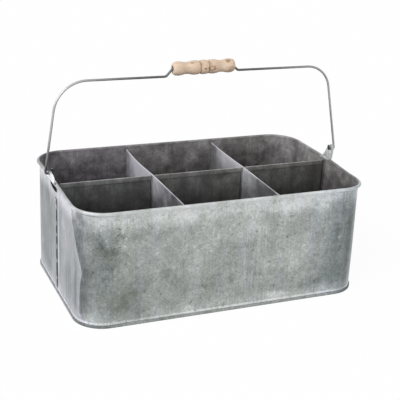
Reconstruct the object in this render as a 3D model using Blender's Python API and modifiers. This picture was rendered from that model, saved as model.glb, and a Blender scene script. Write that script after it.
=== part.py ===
"""Six-cell bottle caddy of galvanised sheet, with a wire bail and a turned wooden grip.

Metres. X runs along the caddy, the front is -Y, and Z rises from the underside.
"""

import math

import bmesh
import bpy
from mathutils import Matrix, Vector

# Sheet-metal body
BODY_LENGTH = 0.380
BODY_DEPTH = 0.234
BODY_HEIGHT = 0.150
CORNER_RADIUS = 0.0365
SHEET = 0.0006
SEAT_GAP = 0.0003

# Rolled rim and the wire inside it
RIM_WIRE_RADIUS = 0.0012
CURL_TURN = math.radians(300)

# Base seam: the wall's foot turns out and the pan's edge is knocked up round it
FOOT_FLANGE = 0.0010
LIP_THICKNESS = 0.0016
LIP_HEIGHT = 0.0046
LIP_ROUND = 0.0006
FLOOR_BORDER = 0.018

# Lock seam that closes the wall, on the left end
SEAM_WIDTH = 0.009
SEAM_RAISE = 0.0012
SEAM_FORWARD = 0.0045
SEAM_TOP_MARGIN = 0.0015

# Dividers
CELL_COLUMNS = 3
DIVIDER_DROP = 0.0041
HEM_HEIGHT = 0.006
HEM_THICKNESS = 0.0016
FLANGE_WIDTH = 0.012
FLANGE_DROP = 0.016
FOLD_RADIUS = 0.002

# Ears, rolled round the rim wire
EAR_SHEET = 0.0009
EAR_WIDTH = 0.022
EAR_SHOULDER = 0.0035
EAR_HEAD_RADIUS = 0.008
EAR_HOLE_RADIUS = 0.003
EAR_HOLE_RISE = 0.0126
EAR_LEAN = math.radians(19)
EAR_WRAP = math.radians(285)
NOTCH_MARGIN = 0.0015
NOTCH_DEPTH = 0.0055

# Bail
BAIL_WIRE_RADIUS = 0.0015
BAIL_RISE = 0.1150
BAIL_LEAN = math.radians(9.4)
BAIL_SHOULDER_RADIUS = 0.038
BAIL_SIDE_PLAY = 0.0010
HOOK_PLAY = 0.001
HOOK_RISE = 0.006
HOOK_BEND_RADIUS = 0.0024
GRIP_LIFT = 0.0088
JOG_RUN = 0.0060
JOG_BEND_RADIUS = 0.0024

# Turned grip: each station is a distance from the middle and a radius there
GRIP_LENGTH = 0.083
GRIP_BEAD_RADIUS = 0.0088
GRIP_GROOVE_AT = 0.0058
GRIP_GROOVE_RADIUS = 0.0073
GRIP_BULGE_AT = 0.0125
GRIP_BULGE_RADIUS = 0.0086
GRIP_WAIST_AT = 0.0235
GRIP_WAIST_RADIUS = 0.0072
GRIP_KNOB_BACK = 0.0075
GRIP_KNOB_RADIUS = 0.0089
GRIP_END_RADIUS = 0.0058

# Facets
CORNER_STEPS = 10
CURL_STEPS = 10
FOLD_STEPS = 4
HEAD_STEPS = 14
HOLE_SIDES = 24
WRAP_STEPS = 14
BEND_STEPS = 4
SHOULDER_STEPS = 10
PROFILE_STEPS = 6
GRIP_SIDES = 24
WIRE_RESOLUTION = 2
CUT_MARGIN = 0.003
WELD_DISTANCE = 0.000001
SMOOTH_ANGLE = math.radians(35)

# Worked out from the sizes above
half_length = BODY_LENGTH / 2
half_depth = BODY_DEPTH / 2
inner_half_length = half_length - SHEET
inner_half_depth = half_depth - SHEET
curl_inner = RIM_WIRE_RADIUS + SEAT_GAP
curl_outer = curl_inner + SHEET
curl_out = curl_outer - SHEET
curl_height = BODY_HEIGHT - curl_outer
foot_height = SHEET + SEAT_GAP
lip_out = SEAT_GAP + LIP_THICKNESS
notch_floor = BODY_HEIGHT - NOTCH_DEPTH
divider_foot = SHEET + SEAT_GAP
divider_top = BODY_HEIGHT - DIVIDER_DROP
lap_height = (divider_foot + divider_top) / 2
column_pitch = 2 * inner_half_length / CELL_COLUMNS

ear_inner = curl_inner
ear_outer = ear_inner + EAR_SHEET
rim_wire_x = half_length + curl_out
ear_up = Vector((math.sin(EAR_LEAN), math.cos(EAR_LEAN)))
ear_out = Vector((math.cos(EAR_LEAN), -math.sin(EAR_LEAN)))
ear_root = Vector((rim_wire_x, curl_height))
ear_middle = ear_root + ear_out * (ear_inner + ear_outer) / 2
hole_centre = ear_middle + ear_up * EAR_HOLE_RISE
head_top = ear_root + ear_out * ear_outer + ear_up * (EAR_HOLE_RISE + EAR_HEAD_RADIUS)
pivot_height = hole_centre.y + EAR_HOLE_RADIUS - BAIL_WIRE_RADIUS - SEAT_GAP
arm_x = head_top.x + BAIL_SIDE_PLAY + BAIL_WIRE_RADIUS + (head_top.y - pivot_height) * math.tan(BAIL_LEAN)
hook_x = hole_centre.x - EAR_SHEET / 2 - HOOK_PLAY - BAIL_WIRE_RADIUS
crossbar_height = pivot_height + BAIL_RISE
grip_height = crossbar_height + GRIP_LIFT
grip_bore = BAIL_WIRE_RADIUS + SEAT_GAP
half_grip = GRIP_LENGTH / 2

# Turns a flat outline so that its width runs along Y, its height along Z and its thickness along X
face_along_x = Matrix(((0, 0, 1, 0), (1, 0, 0, 0), (0, 1, 0, 0), (0, 0, 0, 1)))

for old_object in list(bpy.data.objects):
    bpy.data.objects.remove(old_object, do_unlink=True)

parts = bpy.data.collections.new("bottle_caddy")
cutters = bpy.data.collections.new("caddy_cutters")
for collection in (parts, cutters):
    bpy.context.scene.collection.children.link(collection)


def finish(name, colour, roughness, metallic):
    """A Principled material of one colour."""
    material = bpy.data.materials.new(name)
    material.use_nodes = True
    shader = material.node_tree.nodes["Principled BSDF"]
    shader.inputs["Base Color"].default_value = (*colour, 1.0)
    shader.inputs["Roughness"].default_value = roughness
    shader.inputs["Metallic"].default_value = metallic
    return material


def zinc(name):
    return finish(name, (0.36, 0.38, 0.37), 0.5, 0.85)


def dark_zinc(name):
    return finish(name, (0.20, 0.20, 0.20), 0.55, 0.85)


def bright_wire(name):
    return finish(name, (0.50, 0.50, 0.50), 0.4, 0.95)


def pale_wood(name):
    return finish(name, (0.62, 0.46, 0.31), 0.6, 0.0)


def as_part(name, mesh, make_finish):
    """A named piece of the caddy, with its own finish."""
    piece = bpy.data.objects.new(name, mesh)
    parts.objects.link(piece)
    mesh.materials.clear()
    mesh.materials.append(make_finish(name + "_finish"))
    mesh.shade_smooth()
    mesh.set_sharp_from_angle(angle=SMOOTH_ANGLE)
    return piece


def as_tool(name, mesh):
    """A shape that only cuts, trims or adds to a piece."""
    tool = bpy.data.objects.new(name, mesh)
    cutters.objects.link(tool)
    tool.hide_render = True
    tool.display_type = "WIRE"
    return tool


def apply_tool(piece, tool, operation):
    modifier = piece.modifiers.new(operation.lower() + "_" + tool.name, "BOOLEAN")
    modifier.operation = operation
    modifier.solver = "EXACT"
    modifier.object = tool


def arc(centre, radius, start, end, steps):
    """Points on a circle from one angle to another, both included."""
    points = []
    for step in range(steps + 1):
        angle = start + (end - start) * step / steps
        points.append((centre[0] + radius * math.cos(angle), centre[1] + radius * math.sin(angle)))
    return points


def rounded_loop(offset):
    """The wall's plan outline, moved outward by offset."""
    points = []
    for turn, (side_x, side_y) in enumerate(((1, 1), (-1, 1), (-1, -1), (1, -1))):
        centre = (side_x * (half_length - CORNER_RADIUS), side_y * (half_depth - CORNER_RADIUS))
        start = math.radians(90) * turn
        points += arc(centre, CORNER_RADIUS + offset, start, start + math.radians(90), CORNER_STEPS)
    return points


def rounded_path(corners, bend_steps):
    """A path through corners of (x, z, bend radius), each bend rounded in its own number of steps."""
    points = [Vector(corners[0][:2])]
    for index in range(1, len(corners) - 1):
        here = Vector(corners[index][:2])
        radius = corners[index][2]
        back = (Vector(corners[index - 1][:2]) - here).normalized()
        ahead = (Vector(corners[index + 1][:2]) - here).normalized()
        half_angle = back.angle(ahead) / 2
        centre = here + (back + ahead).normalized() * radius / math.sin(half_angle)
        first = here + back * radius / math.tan(half_angle) - centre
        turn = first.angle_signed(here + ahead * radius / math.tan(half_angle) - centre)
        for step in range(bend_steps[index] + 1):
            swing = Matrix.Rotation(-turn * step / bend_steps[index], 2)
            points.append(centre + swing @ first)
    points.append(Vector(corners[-1][:2]))
    return points


def curve_object(name, points, closed, dimensions):
    """A poly curve through points, held in the scene until it is made a mesh."""
    data = bpy.data.curves.new(name, "CURVE")
    data.dimensions = dimensions
    spline = data.splines.new("POLY")
    spline.points.add(len(points) - 1)
    for control, place in zip(spline.points, points):
        control.co = (*place, 0.0, 1.0) if len(place) == 2 else (*place, 1.0)
    spline.use_cyclic_u = closed
    curve = bpy.data.objects.new(name, data)
    bpy.context.scene.collection.objects.link(curve)
    return curve


def mesh_of(curve, placement=None):
    """The curve's surface as a welded mesh with its faces pointing out; the curve goes."""
    graph = bpy.context.evaluated_depsgraph_get()
    mesh = bpy.data.meshes.new_from_object(curve.evaluated_get(graph))
    work = bmesh.new()
    work.from_mesh(mesh)
    bmesh.ops.remove_doubles(work, verts=work.verts, dist=WELD_DISTANCE)
    bmesh.ops.holes_fill(work, edges=work.edges)
    bmesh.ops.recalc_face_normals(work, faces=work.faces)
    if placement is not None:
        bmesh.ops.transform(work, matrix=placement, verts=work.verts)
    work.to_mesh(mesh)
    work.free()
    bpy.data.objects.remove(curve, do_unlink=True)
    return mesh


def swept(name, section, closed_section):
    """A section of (outward, height) points carried round the wall's plan outline."""
    inward = [(-out, height) for out, height in section]
    profile = curve_object(name + "_section", inward, closed_section, "2D")
    path = curve_object(name + "_path", rounded_loop(0.0), True, "2D")
    path.data.bevel_mode = "OBJECT"
    path.data.bevel_object = profile
    mesh = mesh_of(path)
    bpy.data.objects.remove(profile, do_unlink=True)
    return mesh


def wire(name, points, radius, closed, placement=None):
    """A round wire along points, with its ends closed."""
    curve = curve_object(name, points, closed, "3D")
    curve.data.bevel_depth = radius
    curve.data.bevel_resolution = WIRE_RESOLUTION
    curve.data.use_fill_caps = True
    return mesh_of(curve, placement)


def prism(name, outline, depth, placement):
    """A flat outline thickened evenly to both sides, then placed."""
    curve = curve_object(name, outline, True, "2D")
    curve.data.fill_mode = "BOTH"
    curve.data.extrude = depth / 2
    return mesh_of(curve, placement)


def box(low, high):
    mesh = bpy.data.meshes.new("box")
    work = bmesh.new()
    bmesh.ops.create_cube(work, size=1.0)
    size = Vector(high) - Vector(low)
    bmesh.ops.scale(work, vec=size, verts=work.verts)
    bmesh.ops.translate(work, vec=Vector(low) + size / 2, verts=work.verts)
    work.to_mesh(mesh)
    work.free()
    return mesh


def round_bar(centre, radius, length, sides):
    """A cylinder along X."""
    mesh = bpy.data.meshes.new("round_bar")
    work = bmesh.new()
    bmesh.ops.create_cone(work, cap_ends=True, segments=sides, radius1=radius, radius2=radius, depth=length)
    bmesh.ops.rotate(work, matrix=Matrix.Rotation(math.radians(90), 3, "Y"), verts=work.verts)
    bmesh.ops.translate(work, vec=centre, verts=work.verts)
    work.to_mesh(mesh)
    work.free()
    return mesh


def make_body_wall():
    """One sheet: turned-out foot, plain wall, and a curl rolled outward at the top."""
    curl_centre = (curl_out, curl_height)
    start = math.radians(180)
    section = [(FOOT_FLANGE, foot_height), (FOOT_FLANGE, foot_height + SHEET), (0.0, foot_height + SHEET)]
    section += arc(curl_centre, curl_inner, start, start - CURL_TURN, CURL_STEPS)
    section += arc(curl_centre, curl_outer, start - CURL_TURN, start, CURL_STEPS)
    section += [(-SHEET, foot_height)]
    wall = as_part("body_wall", swept("body_wall", section, True), zinc)

    notch_half = EAR_WIDTH / 2 + NOTCH_MARGIN
    for side, label in ((-1, "left"), (1, "right")):
        reach = sorted((side * (half_length - CUT_MARGIN), side * (rim_wire_x + curl_outer + CUT_MARGIN)))
        low = (reach[0], -notch_half, notch_floor)
        high = (reach[1], notch_half, BODY_HEIGHT + CUT_MARGIN)
        apply_tool(wall, as_tool("notch_" + label, box(low, high)), "DIFFERENCE")

    seam_low = (-half_length - SEAM_RAISE, -SEAM_FORWARD - SEAM_WIDTH / 2, LIP_HEIGHT + SEAT_GAP)
    seam_high = (-half_length + SHEET / 2, -SEAM_FORWARD + SEAM_WIDTH / 2, notch_floor - SEAM_TOP_MARGIN)
    seam = as_tool("lock_seam", box(seam_low, seam_high))
    rounding = seam.modifiers.new("folded_edges", "BEVEL")
    rounding.width = SEAM_RAISE / 2
    rounding.segments = 2
    apply_tool(wall, seam, "UNION")
    return wall


def make_rim_wire():
    loop = [(x, y, curl_height) for x, y in rounded_loop(curl_out)]
    return as_part("rim_wire", wire("rim_wire", loop, RIM_WIRE_RADIUS, True), bright_wire)


def make_base_pan():
    """Flat floor whose edge rises outside the wall and closes over its turned-out foot."""
    pocket_out = FOOT_FLANGE + SEAT_GAP
    pocket_top = foot_height + SHEET + SEAT_GAP
    outer_turn = lip_out - LIP_ROUND
    inner_turn = SEAT_GAP + LIP_ROUND
    top_turn = LIP_HEIGHT - LIP_ROUND
    right_angle = math.radians(90)
    section = [(-FLOOR_BORDER, 0.0)]
    section += arc((outer_turn, LIP_ROUND), LIP_ROUND, -right_angle, 0.0, FOLD_STEPS)
    section += arc((outer_turn, top_turn), LIP_ROUND, 0.0, right_angle, FOLD_STEPS)
    section += arc((inner_turn, top_turn), LIP_ROUND, right_angle, 2 * right_angle, FOLD_STEPS)
    section += [(SEAT_GAP, pocket_top), (pocket_out, pocket_top), (pocket_out, SHEET), (-FLOOR_BORDER, SHEET)]
    return as_part("base_pan", swept("base_pan", section, False), zinc)


def divider_plan(half_run):
    """Plan outline of a divider along X: a web whose ends fold square towards +Y."""
    right_angle = math.radians(90)
    half_sheet = SHEET / 2
    outside = FOLD_RADIUS
    inside = FOLD_RADIUS - SHEET
    right_fold = (half_run - outside, -half_sheet + outside)
    left_fold = (-half_run + outside, -half_sheet + outside)
    outline = arc(right_fold, outside, -right_angle, 0.0, FOLD_STEPS)
    outline += [(half_run, FLANGE_WIDTH), (half_run - SHEET, FLANGE_WIDTH)]
    outline += arc(right_fold, inside, 0.0, -right_angle, FOLD_STEPS)
    outline += arc(left_fold, inside, -right_angle, -2 * right_angle, FOLD_STEPS)
    outline += [(-half_run + SHEET, FLANGE_WIDTH), (-half_run, FLANGE_WIDTH)]
    outline += arc(left_fold, outside, -2 * right_angle, -right_angle, FOLD_STEPS)
    return outline


def make_divider(name, half_run, placement, slots):
    """A divider standing on the floor, with its top edge hemmed and slots where it laps another."""
    hem_half = HEM_THICKNESS / 2
    web_top = divider_top - hem_half
    lift = Matrix.Translation((0.0, 0.0, (divider_foot + web_top) / 2))
    mesh = prism(name, divider_plan(half_run), web_top - divider_foot, placement @ lift)
    divider = as_part(name, mesh, dark_zinc)

    web_half = half_run - FOLD_RADIUS
    hem_section = [(-hem_half, divider_top - HEM_HEIGHT), (hem_half, divider_top - HEM_HEIGHT)]
    hem_section += arc((0.0, web_top), hem_half, 0.0, math.pi, FOLD_STEPS)
    hem_mesh = prism(name + "_hem", hem_section, 2 * (web_half - HEM_THICKNESS), placement @ face_along_x)
    apply_tool(divider, as_tool(name + "_hem", hem_mesh), "UNION")

    for side, label in ((-1, "start"), (1, "end")):
        ends = sorted((side * web_half, side * (half_run + CUT_MARGIN)))
        low = (ends[0], SHEET, divider_top - FLANGE_DROP)
        high = (ends[1], FLANGE_WIDTH + CUT_MARGIN, divider_top + CUT_MARGIN)
        trim_mesh = box(low, high)
        trim_mesh.transform(placement)
        apply_tool(divider, as_tool(name + "_flange_trim_" + label, trim_mesh), "DIFFERENCE")

    for number, (place, width, low_z, high_z) in enumerate(slots):
        reach = HEM_THICKNESS + CUT_MARGIN
        slot_mesh = box((place - width / 2, -reach, low_z), (place + width / 2, reach, high_z))
        slot_mesh.transform(placement)
        apply_tool(divider, as_tool(name + "_slot_" + str(number), slot_mesh), "DIFFERENCE")
    return divider


def make_dividers():
    """One long divider with slots from the top; the cross dividers drop in with slots from below."""
    columns = [column_pitch * (number - CELL_COLUMNS / 2) for number in range(1, CELL_COLUMNS)]
    wide_slot = HEM_THICKNESS + 2 * SEAT_GAP
    thin_slot = SHEET + 2 * SEAT_GAP
    from_top = (lap_height - SEAT_GAP / 2, divider_top + CUT_MARGIN)
    from_below = (divider_foot - CUT_MARGIN, lap_height + SEAT_GAP / 2)
    long_slots = [(place, wide_slot, *from_top) for place in columns]
    make_divider("long_divider", inner_half_length - SEAT_GAP, Matrix.Identity(4), long_slots)
    for number, place in enumerate(columns):
        label = ("left", "right")[number] if len(columns) == 2 else str(number + 1)
        turned = Matrix.Translation((place, 0.0, 0.0)) @ Matrix.Rotation(math.radians(-90), 4, "Z")
        make_divider("cross_divider_" + label, inner_half_depth - SEAT_GAP, turned,
                     [(0.0, thin_slot, *from_below)])


def make_ear(side, label):
    """A tab rolled round the rim wire, leaning outward, with a round head and a hole for the bail."""
    first = -EAR_LEAN
    last = first - EAR_WRAP
    plate_length = EAR_HOLE_RISE + EAR_HEAD_RADIUS + CUT_MARGIN
    section = [ear_root + ear_out * ear_outer + ear_up * plate_length]
    section += arc(ear_root, ear_outer, first, last, WRAP_STEPS)
    section += arc(ear_root, ear_inner, last, first, WRAP_STEPS)
    section += [ear_root + ear_out * ear_inner + ear_up * plate_length]
    section = [(side * x, z) for x, z in section]
    upright = Matrix.Rotation(math.radians(90), 4, "X")
    mesh = prism("ear_" + label, section, EAR_WIDTH + 2 * CUT_MARGIN, upright)
    ear = as_part("ear_" + label, mesh, bright_wire)

    half_width = EAR_WIDTH / 2
    below = ear_outer + CUT_MARGIN
    to_corner = Vector((half_width, EAR_SHOULDER - EAR_HOLE_RISE))
    tangent = math.atan2(to_corner.y, to_corner.x) + math.acos(EAR_HEAD_RADIUS / to_corner.length)
    outline = [(-half_width, EAR_SHOULDER), (-half_width, -below)]
    outline += [(half_width, -below), (half_width, EAR_SHOULDER)]
    outline += arc((0.0, EAR_HOLE_RISE), EAR_HEAD_RADIUS, tangent, math.pi - tangent, HEAD_STEPS)
    lean = Matrix.Rotation(side * EAR_LEAN, 4, "Y")
    root = Matrix.Translation((side * ear_root.x, 0.0, ear_root.y))
    trim = prism("ear_outline_" + label, outline, 2 * below, root @ lean @ face_along_x)
    apply_tool(ear, as_tool("ear_outline_" + label, trim), "INTERSECT")

    drill_at = (side * hole_centre.x, 0.0, hole_centre.y)
    drill = round_bar(drill_at, EAR_HOLE_RADIUS, 2 * below, HOLE_SIDES)
    apply_tool(ear, as_tool("ear_hole_" + label, drill), "DIFFERENCE")
    return ear


def bail_half():
    """Centreline from the hook's tip on the right to the middle of the grip, as (x, z)."""
    shoulder_x = arm_x - BAIL_RISE * math.tan(BAIL_LEAN)
    jog_in = half_grip + JOG_BEND_RADIUS
    corners = [
        (hook_x, pivot_height + HOOK_RISE, 0.0),
        (hook_x, pivot_height, HOOK_BEND_RADIUS),
        (arm_x, pivot_height, HOOK_BEND_RADIUS),
        (shoulder_x, crossbar_height, BAIL_SHOULDER_RADIUS),
        (jog_in + JOG_RUN, crossbar_height, JOG_BEND_RADIUS),
        (jog_in, grip_height, JOG_BEND_RADIUS),
        (0.0, grip_height, 0.0),
    ]
    steps = [0, BEND_STEPS, BEND_STEPS, SHOULDER_STEPS, BEND_STEPS, BEND_STEPS, 0]
    return rounded_path(corners, steps)


def make_bail():
    """One bent wire, hooked through both ears, with its origin on the pivot line."""
    right = bail_half()
    left = [(-x, z) for x, z in reversed(right[:-1])]
    route = [(x, 0.0, z - pivot_height) for x, z in right + left]
    bail = as_part("bail_wire", wire("bail_wire", route, BAIL_WIRE_RADIUS, False), bright_wire)
    pivot = bpy.data.objects.new("bail_pivot", None)
    parts.objects.link(pivot)
    pivot.location = (0.0, 0.0, pivot_height)
    bail.parent = pivot
    return pivot


def swell(low, high, share):
    """A smooth rise from the low radius to the high one as share goes from 0 to 1."""
    return low + (high - low) * (1 - math.cos(math.pi * share)) / 2


def dome(low, high, share):
    """A quarter-round fall from the high radius to the low one as share goes from 0 to 1."""
    return low + (high - low) * math.sqrt(max(0.0, 1 - share ** 2))


def grip_radius(distance):
    """Turned radius at a distance from the middle of the grip."""
    knob_at = half_grip - GRIP_KNOB_BACK
    if distance <= GRIP_GROOVE_AT:
        return dome(GRIP_GROOVE_RADIUS, GRIP_BEAD_RADIUS, distance / GRIP_GROOVE_AT)
    if distance <= GRIP_BULGE_AT:
        share = (GRIP_BULGE_AT - distance) / (GRIP_BULGE_AT - GRIP_GROOVE_AT)
        return dome(GRIP_GROOVE_RADIUS, GRIP_BULGE_RADIUS, share)
    if distance <= GRIP_WAIST_AT:
        share = (GRIP_WAIST_AT - distance) / (GRIP_WAIST_AT - GRIP_BULGE_AT)
        return swell(GRIP_WAIST_RADIUS, GRIP_BULGE_RADIUS, share)
    if distance <= knob_at:
        share = (distance - GRIP_WAIST_AT) / (knob_at - GRIP_WAIST_AT)
        return swell(GRIP_WAIST_RADIUS, GRIP_KNOB_RADIUS, share)
    return dome(GRIP_END_RADIUS, GRIP_KNOB_RADIUS, (distance - knob_at) / GRIP_KNOB_BACK)


def grip_stations():
    """Distances from the middle, closest together where the turning is tightest."""
    knob_at = half_grip - GRIP_KNOB_BACK
    spans = (
        (0.0, GRIP_GROOVE_AT, 1),
        (GRIP_GROOVE_AT, GRIP_BULGE_AT, -1),
        (GRIP_BULGE_AT, GRIP_WAIST_AT, 0),
        (GRIP_WAIST_AT, knob_at, 0),
        (knob_at, half_grip, 1),
    )
    stations = [0.0]
    for start, end, crowd in spans:
        for step in range(1, PROFILE_STEPS + 1):
            share = step / PROFILE_STEPS
            if crowd > 0:
                share = math.sin(share * math.pi / 2)
            if crowd < 0:
                share = 1 - math.cos(share * math.pi / 2)
            stations.append(start + (end - start) * share)
    return stations


def make_grip(pivot):
    """Turned wooden grip with a through bore, free to spin on the wire."""
    stations = grip_stations()
    outer = [(grip_radius(place), 0.0, place) for place in reversed(stations)]
    outer += [(grip_radius(place), 0.0, -place) for place in stations[1:]]
    profile = outer + [(grip_bore, 0.0, -half_grip), (grip_bore, 0.0, half_grip)]
    edges = [(number, (number + 1) % len(profile)) for number in range(len(profile))]
    mesh = bpy.data.meshes.new("grip")
    mesh.from_pydata(profile, edges, [])
    grip = as_part("grip", mesh, pale_wood)
    turning = grip.modifiers.new("turned", "SCREW")
    turning.axis = "Z"
    turning.angle = math.radians(360)
    turning.steps = GRIP_SIDES
    turning.render_steps = GRIP_SIDES
    turning.use_merge_vertices = True
    turning.merge_threshold = WELD_DISTANCE
    axis = bpy.data.objects.new("grip_axis", None)
    parts.objects.link(axis)
    axis.parent = pivot
    axis.location = (0.0, 0.0, grip_height - pivot_height)
    axis.rotation_euler = (0.0, math.radians(90), 0.0)
    grip.parent = axis
    return grip


make_body_wall()
make_rim_wire()
make_base_pan()
make_dividers()
make_ear(-1, "left")
make_ear(1, "right")
make_grip(make_bail())
bpy.context.view_layer.update()
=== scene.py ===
import math

import bmesh
import bpy
from mathutils import Matrix, Vector


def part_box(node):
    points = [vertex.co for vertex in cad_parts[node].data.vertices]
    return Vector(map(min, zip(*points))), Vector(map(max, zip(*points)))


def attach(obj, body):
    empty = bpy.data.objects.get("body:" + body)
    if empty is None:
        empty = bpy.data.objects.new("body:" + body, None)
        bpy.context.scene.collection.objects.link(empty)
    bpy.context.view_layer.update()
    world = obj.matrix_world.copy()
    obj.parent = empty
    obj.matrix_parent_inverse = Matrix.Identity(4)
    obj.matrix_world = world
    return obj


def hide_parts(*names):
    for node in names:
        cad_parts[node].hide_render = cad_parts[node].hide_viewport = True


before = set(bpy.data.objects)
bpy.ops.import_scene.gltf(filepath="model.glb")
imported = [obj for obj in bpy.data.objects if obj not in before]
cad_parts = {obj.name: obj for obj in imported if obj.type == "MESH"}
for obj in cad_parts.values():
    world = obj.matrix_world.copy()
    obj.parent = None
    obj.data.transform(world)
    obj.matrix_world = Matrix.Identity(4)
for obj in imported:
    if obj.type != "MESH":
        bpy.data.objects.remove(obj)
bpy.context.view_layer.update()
print("frame loaded:", len(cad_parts), "CAD nodes")

mm = 0.001
quarter = math.radians(90)


# Working in edit mode

def onlyThis(piece):
    if bpy.context.object and bpy.context.object.mode != "OBJECT":
        bpy.ops.object.mode_set(mode="OBJECT")
    bpy.ops.object.select_all(action="DESELECT")
    if piece:
        piece.select_set(True)
        bpy.context.view_layer.objects.active = piece


def edit(piece):
    onlyThis(piece)
    bpy.ops.object.mode_set(mode="EDIT")


def pick(piece, kind, test):
    # selects the vertices, edges or faces that pass the test
    bpy.ops.mesh.select_mode(type=kind)
    bpy.ops.mesh.select_all(action="DESELECT")
    work = bmesh.from_edit_mesh(piece.data)
    for item in {"VERT": work.verts, "EDGE": work.edges, "FACE": work.faces}[kind]:
        item.select_set(test(item))
    bmesh.update_edit_mesh(piece.data)


def pickAll(kind):
    bpy.ops.mesh.select_mode(type=kind)
    bpy.ops.mesh.select_all(action="SELECT")


def middle(item):
    # the middle of an edge or a face
    return sum((v.co for v in item.verts), Vector()) / len(item.verts)


def added(name):
    # the object just added, named and with its placing applied
    piece = bpy.context.object
    piece.name = name
    bpy.ops.object.transform_apply(location=True, rotation=True, scale=True)
    return piece


def drawChain(name, points, closed=False):
    # one vertex, extruded from point to point; leaves the whole chain selected
    onlyThis(None)
    bpy.ops.mesh.primitive_plane_add(size=mm, location=points[0])
    piece = added(name)
    edit(piece)
    pickAll("VERT")
    bpy.ops.mesh.merge(type="CENTER")
    for here, there in zip(points, points[1:]):
        bpy.ops.mesh.extrude_vertices_move(TRANSFORM_OT_translate={"value": Vector(there) - Vector(here)})
    if closed:
        first, last = Vector(points[0]), Vector(points[-1])
        pick(piece, "VERT", lambda v: min((v.co - first).length, (v.co - last).length) < 1e-6)
        bpy.ops.mesh.edge_face_add()
    pickAll("EDGE")
    return piece


def pull(move):
    bpy.ops.mesh.extrude_edges_move(TRANSFORM_OT_translate={"value": Vector(move)})


def push(move):
    bpy.ops.mesh.extrude_region_move(TRANSFORM_OT_translate={"value": move})


def turn(centre, axis, angle, steps):
    # with no window, spin turns the other way
    bpy.ops.mesh.spin(steps=steps, angle=-angle, center=centre, axis=axis)


def weld(piece, gap=0.002 * mm):
    edit(piece)
    bpy.ops.mesh.select_all(action="SELECT")
    bpy.ops.mesh.remove_doubles(threshold=gap)
    bpy.ops.mesh.normals_make_consistent(inside=False)
    bpy.ops.object.mode_set(mode="OBJECT")


def prism(name, outline, move):
    # a closed outline, filled and extruded
    piece = drawChain(name, outline, True)
    bpy.ops.mesh.edge_face_add()
    push(move)
    weld(piece)
    return piece


def applyModifier(piece, kind, **settings):
    onlyThis(piece)
    modifier = piece.modifiers.new(kind.lower(), kind)
    for name, value in settings.items():
        setattr(modifier, name, value)
    bpy.ops.object.modifier_apply(modifier=modifier.name)


def cutWith(piece, tool, operation):
    applyModifier(piece, "BOOLEAN", operation=operation, solver="EXACT", object=tool)
    bpy.data.objects.remove(tool, do_unlink=True)


def block(low, high, rounding=0.0):
    # a box between two corners, with its edges rounded if asked
    onlyThis(None)
    low, high = Vector(low), Vector(high)
    bpy.ops.mesh.primitive_cube_add(size=1.0, location=(low + high) / 2, scale=high - low)
    piece = added("block")
    if rounding:
        applyModifier(piece, "BEVEL", width=rounding, segments=3)
    return piece


def paint(piece, *finishes):
    piece.data.materials.clear()
    for finish in finishes:
        piece.data.materials.append(finish)


def smoothed(piece, angle=35):
    onlyThis(piece)
    bpy.ops.object.shade_smooth_by_angle(angle=math.radians(angle))


def arcOf(centre, radius, start, end, steps):
    points = []
    for step in range(steps + 1):
        angle = start + (end - start) * step / steps
        points.append((centre[0] + radius * math.cos(angle), centre[1] + radius * math.sin(angle)))
    return points


def spread(start, end, stride, marks=()):
    # places from start to end about a stride apart, with the marks among them
    stops = sorted([start, end] + [mark for mark in marks if min(start, end) < mark < max(start, end)])
    places = [stops[0]]
    for here, there in zip(stops, stops[1:]):
        count = max(1, round((there - here) / stride))
        places += [here + (there - here) * step / count for step in range(1, count + 1)]
    return places if end > start else places[::-1]


def ease(value, low, high):
    share = min(1.0, max(0.0, (value - low) / (high - low)))
    return share * share * (3 - 2 * share)


# Shader maths

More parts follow.
